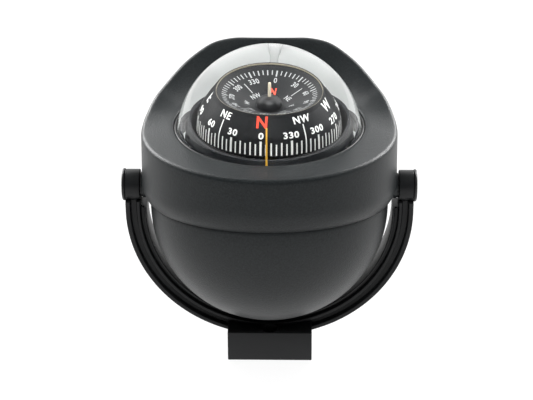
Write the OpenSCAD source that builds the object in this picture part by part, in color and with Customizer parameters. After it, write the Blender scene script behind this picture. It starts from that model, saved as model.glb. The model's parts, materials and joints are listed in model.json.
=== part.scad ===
// Bracket-mounted steering compass with a hooded housing, a liquid-filled dome and a gimballed card.
// Origin: centre of the underside of the foot. +Z up, the reader stands at -Y.

/* [Bracket] */
// Height of the tilt pivot above the underside of the foot, mm
pivot_h = 93; // [70:1:120]
// Outer radius of the curved strap, mm
strap_r = 71.6; // [60:0.1:90]
// Radial width of the strap, mm
strap_w = 10.4; // [8:0.1:16]
// Depth of the strap front to back, mm
strap_d = 15; // [10:0.5:20]
// How far the centre of the strap's curve lies below the pivot, mm
strap_drop = 11.75; // [5:0.25:20]
// Depth of the channels in the strap's two faces, mm
channel_d = 3; // [1:0.25:5]
// Width of the foot, mm
foot_w = 43; // [30:1:60]
// Depth of the foot front to back, mm
foot_d = 32; // [26:1:50]
// Height of the foot, mm
foot_h = 16.5; // [8:0.5:20]
// Distance between the two fixing holes, mm
hole_pitch = 22.8; // [18:0.2:36]
// Radius of a fixing hole, mm
hole_r = 3.7; // [2:0.1:5]
// Radius of the pivot bosses, mm
boss_r = 7.75; // [6:0.25:10]
// Radius of the knob's head, mm
knob_r = 8.1; // [7:0.1:11]
// Radius of the knob's threaded shank, mm
shank_r = 3; // [2:0.25:4]

/* [Housing] */
// Rearward lean of the housing at rest, degrees
lean = 11; // [0:1:25]
// Radius of the collar, mm
collar_r = 63.2; // [50:0.1:75]
// Height of the seam between collar and lower bowl, from the pivot, mm
seam_z = -6.75; // [-15:0.25:0]
// Radius of the lower bowl, mm
bowl_r = 59.03; // [45:0.01:70]
// Height of the lower bowl's centre, from the pivot, mm
bowl_z = -8.77; // [-20:0.01:0]
// Wall thickness of the housing, mm
wall = 3; // [2:0.25:5]
// Radius of the opening round the dome, mm
open_r = 47.2; // [40:0.1:55]
// Height of the opening on the housing axis, from the pivot, mm
open_h = 31.5; // [20:0.5:45]

/* [Dome and fluid bowl] */
// Outer radius of the clear dome, mm
dome_r = 45.75; // [38:0.25:50]
// Wall thickness of the dome, mm
dome_t = 2.4; // [1.5:0.1:4]
// Depth of the dome's centre below the opening, mm
dome_drop = 7; // [4:0.5:10]
// Inner radius of the fluid bowl, mm
fluid_r = 42.3; // [36:0.1:48]
// Wall thickness of the fluid bowl, mm
fluid_t = 2; // [1.5:0.1:4]

/* [Card and gimbal] */
// Radius of the card's skirt, mm
card_r = 25.3; // [20:0.1:32]
// Heading shown, degrees
heading = 353; // [0:1:359]
// How far the card dips towards its own north, degrees
dip = 5.75; // [0:0.25:10]
// Height of the pivot pin's tip above the dome's centre, mm
pin_top = 8.35; // [4:0.05:12]
// Radius of the gimbal ring's centre line, mm
ring_r = 30; // [29:0.1:33]
// Depth of the gimbal centre below the dome's centre, mm
gimbal_drop = 5; // [5:0.5:10]

/* [Hidden] */
yc = open_h * sin(lean);
zc = pivot_h + open_h * cos(lean) - dome_drop;
strap_in = strap_r - strap_w;
pan_r = ring_r - 1.7;
n_seg = 96;
// Height of the housing's top edge by azimuth: -90 front, 0 side, 90 back
rim = [
  [-90, 20], [-75, 20.3], [-60, 21.3], [-45, 22.8], [-30, 24.6], [-12, 27.4], [0, 29.8], [11, 33.8],
  [18.6, 38], [24, 41], [30, 43.9], [37, 48.2], [45, 53.3], [51, 56.6], [57.6, 60], [62.2, 61.6],
  [67, 62.4], [73, 62.8], [81, 62.4], [90, 62.2]
];

module in_body() {
  translate([0, 0, pivot_h]) rotate([-lean, 0, 0]) children();
}

module at_dome() {
  translate([0, yc, zc]) children();
}

module along_x(x0, x1, r) {
  translate([x0, 0, 0]) rotate([0, 90, 0]) cylinder(r = r, h = x1 - x0, $fn = 64);
}

module along_y(y0, y1, r) {
  translate([0, y1, 0]) rotate([90, 0, 0]) cylinder(r = r, h = y1 - y0, $fn = 64);
}

// A U in the plane y = 0, filled inside its outer edge at radius r
module u_fill(r, d) {
  translate([0, 0, pivot_h - strap_drop]) along_y(-d / 2, d / 2, r);
  translate([-r, -d / 2, pivot_h - strap_drop]) cube([2 * r, d, strap_drop + 20]);
}

module u_band(r_out, r_in, d) {
  difference() {
    u_fill(r_out, d);
    u_fill(r_in, d + 1);
  }
}

module strap_channels(side) {
  translate([0, side * (strap_d / 2 + 1 - channel_d / 2), 0]) {
    difference() {
      union() {
        u_band(strap_r - 2.4, strap_r - 5.7, channel_d + 2);
        u_band(strap_r - 7.3, strap_r - 9.5, channel_d + 2);
      }
      translate([-100, -20, pivot_h - boss_r + 0.6]) cube([200, 40, 100]);
    }
  }
}

module bracket() {
  color("#202224")
  difference() {
    union() {
      difference() {
        u_band(strap_r, strap_in, strap_d);
        strap_channels(-1);
        strap_channels(1);
        translate([-100, -20, pivot_h]) cube([200, 40, 100]);
        translate([-64.2, -20, pivot_h - 8.7]) cube([128.4, 40, 100]);
      }
      translate([-foot_w / 2, -foot_d / 2, 0]) cube([foot_w, foot_d, foot_h]);
      translate([0, 0, pivot_h]) along_x(64.2, 71.6, boss_r);
      translate([0, 0, pivot_h]) along_x(-71.6, -64.2, boss_r);
    }
    translate([0, 0, pivot_h]) along_x(-80, -60, shank_r + 0.05);
    translate([0, 0, pivot_h]) along_x(60, 80, shank_r + 0.05);
    translate([0, hole_pitch / 2, -1]) cylinder(r = hole_r, h = foot_h + 6, $fn = 64);
    translate([0, -hole_pitch / 2, -1]) cylinder(r = hole_r, h = foot_h + 6, $fn = 64);
  }
}

// A knob on the +X side; the left one is turned half round
module knob_shape() {
  difference() {
    union() {
      along_x(71.7, 73.25, knob_r);
      along_x(58, 71.8, shank_r);
    }
    translate([72.4, -1, -6]) cube([2, 2, 12]);
  }
}

module left_knob() {
  color("#1a1c1e")
  translate([0, 0, pivot_h]) rotate([0, 0, 180]) knob_shape();
}

module right_knob() {
  color("#1a1c1e")
  translate([0, 0, pivot_h]) knob_shape();
}

// Points of the housing wall: body frame, azimuth a, 0 = +X, 90 = back
function side_az(a) = asin(sin(a));
function rim_h(a) = lookup(side_az(a), rim);
function cyl_pt(a, r, z) = [r * cos(a), r * sin(a), z];
function open_pt(a, r, d) = [
  r * cos(a),
  r * sin(a) * cos(lean) - d * sin(lean),
  open_h + r * sin(a) * sin(lean) + d * cos(lean)
];
function steep(a) = (rim_h(a) - open_pt(a, 48.3, 0)[2]) / 12.7;
function under_drop(a) = 0.8 * steep(a) + wall * sqrt(1 + steep(a) * steep(a)) + 0.2;
function top_pt(a, t) = cyl_pt(a, collar_r - 2.2, rim_h(a)) * (1 - t) + open_pt(a, open_r + 0.8, 0) * t;
function section(a) = [
  cyl_pt(a, collar_r - 4.1, seam_z),
  cyl_pt(a, collar_r - 2.5, seam_z + 1.75),
  cyl_pt(a, collar_r - 1.1, seam_z + 4.35),
  cyl_pt(a, collar_r - 0.25, seam_z + 7.15),
  cyl_pt(a, collar_r, seam_z + 9.95),
  cyl_pt(a, collar_r, rim_h(a) - 2.2),
  cyl_pt(a, collar_r - 0.65, rim_h(a) - 0.65),
  cyl_pt(a, collar_r - 2.2, rim_h(a)),
  top_pt(a, 0.25),
  top_pt(a, 0.5),
  top_pt(a, 0.75),
  open_pt(a, open_r + 0.8, 0),
  open_pt(a, open_r, -0.8),
  open_pt(a, open_r, 1.8 - dome_drop),
  cyl_pt(a, collar_r - wall, rim_h(a) - under_drop(a)),
  cyl_pt(a, collar_r - wall, 3),
  cyl_pt(a, collar_r - 5.7, -2),
  cyl_pt(a, collar_r - 7.1, seam_z)
];

module wall_solid() {
  m = len(section(0));
  pts = [for (i = [0:n_seg - 1]) each section(i * 360 / n_seg)];
  tri = [for (i = [0:n_seg - 1]) for (j = [0:m - 1]) each [
    [i * m + j, i * m + (j + 1) % m, ((i + 1) % n_seg) * m + j],
    [i * m + (j + 1) % m, ((i + 1) % n_seg) * m + (j + 1) % m, ((i + 1) % n_seg) * m + j]
  ]];
  polyhedron(points = pts, faces = tri, convexity = 6);
}

module clamp_places() {
  for (i = [0:5]) at_dome() rotate([0, 0, 30 + 60 * i]) translate([50.6, 0, 0]) children();
}

// Two screws hide behind the strap and two sit at the back
screw_at = [[20, 50], [160, 50], [62, 50], [118, 50]];

module bowl_screw_places() {
  for (p = screw_at) rotate([0, 0, p[0]]) translate([p[1], 0, 0]) children();
}

module screw_places() {
  in_body() bowl_screw_places() children();
}

module upper_housing() {
  color("#4a4e50")
  difference() {
    union() {
      in_body() wall_solid();
      in_body() along_x(54, 63.5, 6.2);
      in_body() along_x(-63.5, -54, 6.2);
      clamp_places() translate([0, 0, -1.2]) cylinder(r = 2.3, h = dome_drop, $fn = 32);
      screw_places() translate([0, 0, seam_z]) cylinder(r = 3.6, h = 14, $fn = 32);
      in_body() for (p = screw_at) rotate([0, 0, p[0]])
        translate([p[1], -1.2, seam_z + 0.6]) cube([57.6 - p[1], 2.4, 13.4]);
    }
    in_body() along_x(53, 64, 4.4);
    in_body() along_x(-64, -53, 4.4);
    clamp_places() translate([0, 0, -2]) cylinder(r = 1.25, h = 4.4, $fn = 32);
    screw_places() translate([0, 0, seam_z - 1]) cylinder(r = 1.5, h = 13, $fn = 32);
  }
}

module lower_bowl() {
  color("#4a4e50")
  in_body() difference() {
    union() {
      difference() {
        translate([0, 0, bowl_z]) sphere(r = bowl_r, $fn = 128);
        translate([0, 0, bowl_z]) sphere(r = bowl_r - wall, $fn = 128);
      }
      intersection() {
        translate([0, 0, bowl_z]) sphere(r = bowl_r - 0.5, $fn = 128);
        union() {
          bowl_screw_places() translate([0, 0, -50]) cylinder(r = 4.6, h = 50, $fn = 48);
          for (s = [-13, 13]) translate([s, 0, -66]) cylinder(r = 3.5, h = 20, $fn = 48);
        }
      }
    }
    translate([-80, -80, seam_z]) cube([160, 160, 90]);
    // gasket groove
    translate([0, 0, seam_z - 0.9]) difference() {
      cylinder(r = 58.1, h = 5, $fn = 128);
      translate([0, 0, -1]) cylinder(r = 57, h = 7, $fn = 128);
    }
    bowl_screw_places() {
      translate([0, 0, -20]) cylinder(r = 1.7, h = 20, $fn = 32);
      translate([0, 0, -60]) cylinder(r = 3.3, h = 48, $fn = 32);
    }
    for (s = [-13, 13]) translate([s, 0, -58]) cylinder(r = 1.25, h = 20, $fn = 32);
    // adjuster holes and cable inlet
    translate([0, 7, -37]) along_x(30, 70, 3);
    translate([0, 0, -43]) along_y(30, 70, 3);
    translate([0, 0, -20]) along_y(50, 70, 3.5);
    translate([0, 0, -20]) along_y(57.3, 70, 6.2);
  }
}

module seam_gasket() {
  color("#111111")
  in_body() translate([0, 0, seam_z - 0.9]) difference() {
    cylinder(r = 58.1, h = 0.9, $fn = 128);
    translate([0, 0, -1]) cylinder(r = 57, h = 3, $fn = 128);
  }
}

module insert_shape() {
  difference() {
    along_x(54.2, 63.5, 4.4);
    along_x(50, 70, shank_r + 0.05);
  }
}

module left_pivot_insert() {
  color("#b08d3c")
  in_body() rotate([0, 0, 180]) insert_shape();
}

module right_pivot_insert() {
  color("#b08d3c")
  in_body() insert_shape();
}

// Toothed friction washer between the housing and the bracket boss
module washer_shape() {
  difference() {
    union() {
      along_x(63.5, 63.85, 6.2);
      for (i = [0:11]) rotate([30 * i, 0, 0]) translate([63.5, 3.8, -0.5]) cube([0.6, 2.1, 1]);
    }
    along_x(60, 70, shank_r + 0.3);
  }
}

module left_washer() {
  color("#2a2a2a")
  in_body() rotate([0, 0, 180]) washer_shape();
}

module right_washer() {
  color("#2a2a2a")
  in_body() washer_shape();
}

module housing_screws() {
  color("#a8a8a8")
  screw_places() {
    translate([0, 0, -14.4]) difference() {
      cylinder(r = 2.9, h = 2.4, $fn = 32);
      translate([-0.4, -2.4, -1]) cube([0.8, 4.8, 1.9]);
      translate([-2.4, -0.4, -1]) cube([4.8, 0.8, 1.9]);
    }
    translate([0, 0, -12.2]) cylinder(r = 1.5, h = 16.2, $fn = 32);
  }
}

module dome() {
  color("#cfe6ee", 0.3)
  at_dome() difference() {
    union() {
      intersection() {
        sphere(r = dome_r, $fn = 160);
        translate([-60, -60, 0]) cube([120, 120, 60]);
      }
      cylinder(r = 47.9, h = 1.6, $fn = 160);
    }
    sphere(r = dome_r - dome_t, $fn = 160);
  }
}

module dome_ring() {
  color("#1c1d1e")
  at_dome() translate([0, 0, 1.6]) difference() {
    cylinder(r = 46.9, h = dome_drop - 2, $fn = 160);
    translate([0, 0, -1]) cylinder(r = dome_r + 0.15, h = 12, $fn = 160);
  }
}

module dome_gasket() {
  color("#111111")
  at_dome() translate([0, 0, -1.2]) difference() {
    cylinder(r = 47.4, h = 1.2, $fn = 160);
    translate([0, 0, -1]) cylinder(r = 42.8, h = 4, $fn = 160);
  }
}

module fluid_bowl() {
  color("#e8e8e2")
  at_dome() difference() {
    union() {
      sphere(r = fluid_r + fluid_t, $fn = 160);
      translate([0, 0, -3.7]) cylinder(r = 52.6, h = 2.5, $fn = 160);
      // seat for the diaphragm
      translate([0, 0, -46.3]) cylinder(r = 19, h = 6, $fn = 96);
      // filler boss at the rear
      rotate([0, 0, 60]) translate([0, 0, -18]) along_y(36, 44.5, 6);
    }
    sphere(r = fluid_r, $fn = 160);
    translate([-60, -60, -1.2]) cube([120, 120, 60]);
    translate([0, 0, -48]) cylinder(r = 13, h = 12, $fn = 96);
    for (i = [0:5]) rotate([0, 0, 30 + 60 * i]) translate([50.6, 0, -5]) cylinder(r = 1.4, h = 5, $fn = 32);
    for (i = [0:3]) rotate([0, 0, 45 + 90 * i]) translate([16.2, 0, -47]) cylinder(r = 1, h = 3.4, $fn = 24);
    rotate([0, 0, 60]) translate([0, 0, -18]) along_y(30, 50, 2.5);
    translate([0, 0, -gimbal_drop]) along_y(-43.1, 43.1, 1);
    // notch for the lubber's foot
    translate([-1.5, -43.3, -3.3]) cube([3, 4, 2.1]);
  }
}

module clamp_screws() {
  color("#a8a8a8")
  at_dome() for (i = [0:5]) rotate([0, 0, 30 + 60 * i]) translate([50.6, 0, 0]) {
    translate([0, 0, -5.5]) cylinder(r = 2.2, h = 1.8, $fn = 32);
    translate([0, 0, -3.8]) cylinder(r = 1.25, h = 6, $fn = 32);
  }
}

module expansion_diaphragm() {
  color("#1c1c1c")
  at_dome() translate([0, 0, -46.3]) difference() {
    rotate_extrude($fn = 96) polygon([
      [0, -2.2], [4, -2.2], [6.5, -3.6], [9, -3.6], [11.5, -1.2], [13.5, -1.2], [18.6, -1.2],
      [18.6, 0], [11.8, 0], [9.4, -2.4], [6.2, -2.4], [3.6, -1], [0, -1]
    ]);
    for (i = [0:3]) rotate([0, 0, 45 + 90 * i]) translate([16.2, 0, -3]) cylinder(r = 1.2, h = 4, $fn = 24);
  }
}

module diaphragm_ring() {
  color("#9a9a9a")
  at_dome() translate([0, 0, -49.1]) difference() {
    cylinder(r = 18.6, h = 1.6, $fn = 96);
    translate([0, 0, -1]) cylinder(r = 13.5, h = 4, $fn = 96);
    for (i = [0:3]) rotate([0, 0, 45 + 90 * i]) translate([16.2, 0, -1]) cylinder(r = 1.2, h = 4, $fn = 24);
  }
}

module diaphragm_screws() {
  color("#a8a8a8")
  at_dome() for (i = [0:3]) rotate([0, 0, 45 + 90 * i]) translate([16.2, 0, 0]) {
    translate([0, 0, -50.5]) cylinder(r = 1.9, h = 1.4, $fn = 24);
    translate([0, 0, -49.2]) cylinder(r = 1, h = 5.4, $fn = 24);
  }
}

module filler_plug() {
  color("#b08d3c")
  at_dome() rotate([0, 0, 60]) translate([0, 0, -18]) difference() {
    union() {
      along_y(38.5, 45.4, 2.5);
      along_y(45.3, 47.5, 4.4);
    }
    translate([-3.5, 46.7, -0.5]) cube([7, 2, 1]);
  }
}

module filler_seal() {
  color("#111111")
  at_dome() rotate([0, 0, 60]) translate([0, 0, -18]) difference() {
    along_y(44.5, 45.3, 4.2);
    along_y(40, 50, 2.5);
  }
}

// A curved blade that follows the inside of the dome in front of the card
module front_lubber() {
  color("#c8962c")
  at_dome() {
    intersection() {
      translate([-0.95, 0, 0]) rotate([90, 0, 90]) difference() {
        cylinder(r = 39.7, h = 0.9, $fn = 128);
        translate([0, 0, -1]) cylinder(r = 38.4, h = 3, $fn = 128);
      }
      translate([-2, -60, -3.2]) cube([4, 60, 23.2]);
    }
    translate([-1.4, -43.2, -3.2]) cube([2.8, 4.4, 1.9]);
  }
}

module gimbal_stubs() {
  color("#e8e8e2")
  at_dome() translate([0, 0, -gimbal_drop]) {
    along_y(ring_r - 0.5, 43.1, 1);
    along_y(-43.1, 0.5 - ring_r, 1);
  }
}

module gimbal_ring() {
  color("#17181a")
  at_dome() translate([0, 0, -gimbal_drop]) difference() {
    translate([0, 0, -3]) cylinder(r = ring_r + 0.6, h = 4.8, $fn = 128);
    translate([0, 0, -4]) cylinder(r = ring_r - 0.6, h = 8, $fn = 128);
    along_y(-40, 40, 1.05);
    along_x(-40, 40, 1);
  }
}

module ring_pins() {
  color("#c8c8c8")
  at_dome() translate([0, 0, -gimbal_drop]) {
    along_x(ring_r - 2.6, ring_r + 0.5, 1);
    along_x(-ring_r - 0.5, 2.6 - ring_r, 1);
  }
}

// A round-bottomed pan that carries the pivot post and stands up round the card's lower edge
module pivot_cradle() {
  color("#17181a")
  at_dome() translate([0, 0, -gimbal_drop]) difference() {
    union() {
      intersection() {
        sphere(r = pan_r, $fn = 128);
        translate([-40, -40, -14]) cube([80, 80, 14]);
      }
      cylinder(r = pan_r, h = 7, $fn = 128);
    }
    intersection() {
      sphere(r = pan_r - 1.2, $fn = 128);
      translate([-40, -40, -12.5]) cube([80, 80, 12.5]);
    }
    cylinder(r = pan_r - 1.2, h = 9, $fn = 128);
    along_x(-40, 40, 1.05);
    translate([0, 0, -20]) cylinder(r = 2, h = 10, $fn = 32);
  }
}

module cradle_weight() {
  color("#70726e")
  at_dome() translate([0, 0, -gimbal_drop - 20]) difference() {
    cylinder(r = 9, h = 6, $fn = 64);
    translate([0, 0, -1]) cylinder(r = 2, h = 8, $fn = 32);
  }
}

module pivot_post() {
  color("#b08d3c")
  at_dome() translate([0, 0, -gimbal_drop]) difference() {
    union() {
      translate([0, 0, -20]) cylinder(r = 2, h = 8, $fn = 32);
      translate([0, 0, -12.5]) cylinder(r1 = 3.4, r2 = 1.9, h = 16.5, $fn = 48);
    }
    translate([0, 0, -5]) cylinder(r = 0.9, h = 12, $fn = 32);
  }
}

module pivot_pin() {
  color("#c8c8c8")
  at_dome() {
    translate([0, 0, -gimbal_drop - 5]) cylinder(r = 0.9, h = gimbal_drop + pin_top + 3.65, $fn = 32);
    translate([0, 0, pin_top - 1.35]) cylinder(r1 = 0.9, r2 = 0.1, h = 1.35, $fn = 32);
  }
}

// The card balances on the pin's tip and dips towards its own north; z = 0 is 6.35 mm below the tip
module on_card() {
  at_dome() translate([0, 0, pin_top]) rotate([0, 0, heading - 360]) rotate([-dip, 0, 0])
    translate([0, 0, -6.35]) children();
}

module card_skirt() {
  color("#17181a")
  on_card() rotate_extrude($fn = 160)
    polygon([
      [card_r - 1.2, -2.2], [card_r - 0.4, -2.2], [card_r - 0.1, -1.8], [card_r, 1.5], [card_r - 0.1, 4.4],
      [card_r - 0.6, 6.2], [card_r - 1.4, 8], [card_r - 2.5, 10.3], [card_r - 3.7, 12.5],
      [card_r - 4.2, 13.4], [card_r - 5.3, 13.4], [card_r - 4.7, 12], [card_r - 3.5, 9.8],
      [card_r - 2.4, 7.5], [card_r - 1.6, 5.8], [card_r - 1.1, 4.2], [card_r - 1, 1.5]
    ]);
}

module card_dish() {
  color("#17181a")
  on_card() rotate_extrude($fn = 160)
    polygon([
      [2.8, 8.7], [6.5, 9], [9.3, 10.05], [13.7, 11.6], [15.3, 12.1], [17.6, 12.85], [19.4, 13.4],
      [card_r - 4.2, 13.4], [card_r - 4.7, 14.4], [card_r - 4.95, 14.8], [card_r - 5.2, 14.9],
      [card_r - 5.4, 14.6], [card_r - 5.5, 14.42], [17.6, 13.75], [15.3, 13], [13.7, 12.5],
      [9.3, 10.95], [7.7, 10.3], [6, 9.6], [2.8, 9.6]
    ]);
}

module card_float() {
  color("#dcdcd4")
  on_card() rotate_extrude($fn = 96)
    polygon([[2.8, 1], [16, 1], [16, 12.3], [15.3, 12.1], [13.7, 11.6], [9.3, 10.05], [6.5, 9], [2.8, 8.7]]);
}

module card_magnets() {
  color("#55585c")
  on_card() {
    translate([5.5, -12, -2.8]) cube([4, 24, 3.8]);
    translate([-9.5, -12, -2.8]) cube([4, 24, 3.8]);
  }
}

module jewel_cup() {
  color("#b08d3c")
  on_card() difference() {
    translate([0, 0, 3.4]) cylinder(r = 2.8, h = 6.2, $fn = 96);
    translate([0, 0, 3]) cylinder(r = 1.3, h = 3.4, $fn = 48);
  }
}

module hub_cap() {
  color("#1a1a1c")
  on_card() rotate_extrude($fn = 64)
    polygon([
      [0, 9.6], [4.6, 9.6], [4.6, 10.2], [4.2, 11.3], [3.5, 12.3], [2.4, 13.2], [0.6, 13.8],
      [0.6, 12], [0, 12]
    ]);
}

module centre_pin() {
  color("#d8c8a0")
  on_card() translate([0, 0, 12]) cylinder(r = 0.6, h = 7.5, $fn = 64);
}

module compensator_block() {
  color("#c0c0b8")
  in_body() difference() {
    translate([-18, -18, -46]) cube([36, 36, 12]);
    translate([0, 7, -37]) along_x(-30, 30, 2.55);
    translate([0, 0, -43]) along_y(-30, 30, 2.55);
    for (s = [-13, 13]) translate([s, 0, -50]) {
      cylinder(r = 1.4, h = 20, $fn = 32);
      translate([0, 0, 11]) cylinder(r = 2.7, h = 20, $fn = 32);
    }
  }
}

module compensator_screws() {
  color("#a8a8a8")
  in_body() for (s = [-13, 13]) translate([s, 0, 0]) {
    translate([0, 0, -53]) cylinder(r = 1.25, h = 14, $fn = 32);
    translate([0, 0, -39]) cylinder(r = 2.4, h = 1.8, $fn = 32);
  }
}

module rod_shape(l0, l1) {
  difference() {
    along_x(l0, l1, 2.5);
    translate([l1 - 1.2, -3, -0.5]) cube([3, 6, 1]);
    translate([24, 0, -8]) cylinder(r = 1.2, h = 16, $fn = 32);
  }
}

module athwart_rod() {
  color("#b08d3c")
  in_body() translate([0, 7, -37]) rod_shape(-22, 46);
}

module athwart_magnet() {
  color("#55585c")
  in_body() translate([24, 7, -42.5]) cylinder(r = 1.2, h = 11, $fn = 32);
}

module fore_aft_rod() {
  color("#b08d3c")
  in_body() translate([0, 0, -43]) rotate([0, 0, 90]) rod_shape(-22, 41.5);
}

module fore_aft_magnet() {
  color("#55585c")
  in_body() translate([0, 24, -48.5]) cylinder(r = 1.2, h = 11, $fn = 32);
}

module lamp_holder() {
  color("#2a2a2a")
  at_dome() difference() {
    translate([-6, 45.2, -14.7]) cube([12, 7, 11]);
    translate([0, 0, -9.2]) along_y(40, 51, 2.5);
    // room for the head of a clamp screw
    translate([0, 50.6, -5.9]) cylinder(r = 2.7, h = 4, $fn = 32);
  }
}

module lamp() {
  color("#c03028")
  at_dome() translate([0, 0, -9.2]) {
    along_y(46.5, 51, 2.5);
    translate([0, 46.5, 0]) sphere(r = 2.5, $fn = 48);
  }
}

module cable_gland() {
  color("#151515")
  in_body() translate([0, 0, -20]) difference() {
    union() {
      along_y(51.5, 58, 3.5);
      along_y(57.3, 60.5, 5.8);
      along_y(51.5, 53.4, 4.8);
    }
    along_y(40, 70, 2.1);
  }
}

bracket();
left_knob();
right_knob();
upper_housing();
lower_bowl();
seam_gasket();
left_pivot_insert();
right_pivot_insert();
left_washer();
right_washer();
housing_screws();
dome();
dome_ring();
dome_gasket();
fluid_bowl();
clamp_screws();
expansion_diaphragm();
diaphragm_ring();
diaphragm_screws();
filler_plug();
filler_seal();
front_lubber();
gimbal_stubs();
compensator_block();
compensator_screws();
lamp_holder();
lamp();
cable_gland();
gimbal_ring();
ring_pins();
pivot_cradle();
cradle_weight();
pivot_post();
pivot_pin();
card_skirt();
card_dish();
card_float();
card_magnets();
jewel_cup();
hub_cap();
centre_pin();
athwart_rod();
athwart_magnet();
fore_aft_rod();
fore_aft_magnet();
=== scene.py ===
import json
import math

import bmesh
import bpy
from mathutils import Matrix, Vector


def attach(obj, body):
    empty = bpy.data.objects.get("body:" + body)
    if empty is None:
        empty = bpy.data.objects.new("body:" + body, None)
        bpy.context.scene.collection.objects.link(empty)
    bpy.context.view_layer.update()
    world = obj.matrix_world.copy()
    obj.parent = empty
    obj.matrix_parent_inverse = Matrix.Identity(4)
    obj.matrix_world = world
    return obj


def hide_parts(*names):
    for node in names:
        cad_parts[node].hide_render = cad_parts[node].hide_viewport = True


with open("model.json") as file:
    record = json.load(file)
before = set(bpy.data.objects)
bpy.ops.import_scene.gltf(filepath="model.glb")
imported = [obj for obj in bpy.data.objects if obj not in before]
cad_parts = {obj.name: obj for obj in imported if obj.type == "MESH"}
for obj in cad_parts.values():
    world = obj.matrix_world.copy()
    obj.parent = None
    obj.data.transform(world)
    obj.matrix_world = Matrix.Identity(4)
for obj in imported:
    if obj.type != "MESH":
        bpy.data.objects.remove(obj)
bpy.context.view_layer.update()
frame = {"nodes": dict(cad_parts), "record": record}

MM = 0.001
NODES = frame["nodes"]

# Sizes shared with the CAD model, in millimetres
PIVOT_H = 93.0
LEAN = math.radians(11)
STRAP_R, STRAP_W, STRAP_D, STRAP_DROP = 71.6, 10.4, 15.0, 11.75
FOOT_W, FOOT_D, FOOT_H = 43.0, 32.0, 16.5
HOLE_Y, HOLE_R = 11.4, 3.7
BOSS_R, BOSS_IN, KNOB_R, SHANK_R = 7.75, 64.2, 8.1, 3.0
COLLAR_R, SEAM_Z, WALL = 63.2, -6.75, 3.0
BOWL_R, BOWL_Z = 59.03, -8.77
OPEN_R, OPEN_H = 47.2, 31.5
DOME_R, DOME_T, DOME_DROP = 45.75, 2.4, 7.0
FLANGE_R, FLANGE_H = 47.9, 1.6
FLUID_R = 42.3
CARD_R, HEADING, DIP, PIN_TOP = 25.3, 353, math.radians(5.75), 8.35
RING_R, PAN_R, GIMBAL_DROP = 30.0, 28.3, 5.0
Y_DOME = OPEN_H * math.sin(LEAN)
Z_DOME = PIVOT_H + OPEN_H * math.cos(LEAN) - DOME_DROP
# Height of the housing's rim at angles from the front (-90) through the sides (0) to the back (90)
RIM = [
    (-90, 20), (-75, 20.3), (-60, 21.3), (-45, 22.8), (-30, 24.6), (-12, 27.4), (0, 29.8), (11, 33.8),
    (18.6, 38), (24, 41), (30, 43.9), (37, 48.2), (45, 53.3), (51, 56.6), (57.6, 60), (62.2, 61.6),
    (67, 62.4), (73, 62.8), (81, 62.4), (90, 62.2),
]

PIVOT = Matrix.Translation((0, 0, PIVOT_H))
BODY = PIVOT @ Matrix.Rotation(-LEAN, 4, "X")
DOME = Matrix.Translation((0, Y_DOME, Z_DOME))
CARD = (
    DOME @ Matrix.Translation((0, 0, PIN_TOP)) @ Matrix.Rotation(math.radians(HEADING - 360), 4, "Z")
    @ Matrix.Rotation(-DIP, 4, "X") @ Matrix.Translation((0, 0, -6.35))
)
HALF_TURN = Matrix.Rotation(math.pi, 4, "Z")
TO_X = Matrix.Rotation(math.pi / 2, 4, "Y")


# ---------------------------------------------------------------- mesh helpers

def shade(bm, angle):
    for f in bm.faces:
        f.smooth = True
    for e in bm.edges:
        e.smooth = not (len(e.link_faces) == 2 and e.calc_face_angle(0) > math.radians(angle))


def add_object(name, bm, matrix=None, angle=35):
    """Turns a bmesh in millimetres into an object in metres."""
    bmesh.ops.remove_doubles(bm, verts=bm.verts, dist=1e-4)
    bm.transform(Matrix.Scale(MM, 4) @ (matrix or Matrix.Identity(4)))
    bmesh.ops.recalc_face_normals(bm, faces=bm.faces)
    shade(bm, angle)
    mesh = bpy.data.meshes.new(name)
    bm.to_mesh(mesh)
    bm.free()
    obj = bpy.data.objects.new(name, mesh)
    bpy.context.scene.collection.objects.link(obj)
    return obj


def rounded(points, steps=6):
    """A closed outline of (u, v, radius) corners, with each corner rounded."""
    out = []
    n = len(points)
    for i, (u, v, r) in enumerate(points):
        if r <= 0:
            out.append((u, v))
            continue
        p = Vector((u, v))
        a = Vector(points[i - 1][:2]) - p
        b = Vector(points[(i + 1) % n][:2]) - p
        half = a.angle(b) / 2
        cut = min(r / math.tan(half), a.length * 0.49, b.length * 0.49)
        r = cut * math.tan(half)
        start, end = p + a.normalized() * cut, p + b.normalized() * cut
        mid = p + (a.normalized() + b.normalized()).normalized() * (r / math.sin(half))
        v0, v1 = start - mid, end - mid
        sweep = v0.angle_signed(v1)
        for k in range(steps + 1):
            q = v0.copy()
            q.rotate(Matrix.Rotation(-sweep * k / steps, 2))
            out.append(tuple(mid + q))
    return out


def loft(bm, rings, closed_rings=True, closed_path=False):
    """Joins rings of points with quads."""
    made = [[bm.verts.new(p) for p in ring] for ring in rings]
    n = len(made[0])
    last = len(made) if closed_path else len(made) - 1
    for i in range(last):
        a, b = made[i], made[(i + 1) % len(made)]
        for j in range(n if closed_rings else n - 1):
            k = (j + 1) % n
            bm.faces.new((a[j], a[k], b[k], b[j]))
    return made


def lathe_into(bm, profile, n=160, closed=True, matrix=None):
    """Revolves a profile of (r, z) about Z."""
    m = matrix or Matrix.Identity(4)
    rings = []
    for i in range(n):
        a = 2 * math.pi * i / n
        rings.append([m @ Vector((r * math.cos(a), r * math.sin(a), z)) for r, z in profile])
    loft(bm, rings, closed_rings=closed, closed_path=True)


def lathe(name, profile, matrix=None, n=160, closed=True, angle=35):
    bm = bmesh.new()
    lathe_into(bm, profile, n, closed)
    return add_object(name, bm, matrix, angle)


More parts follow.
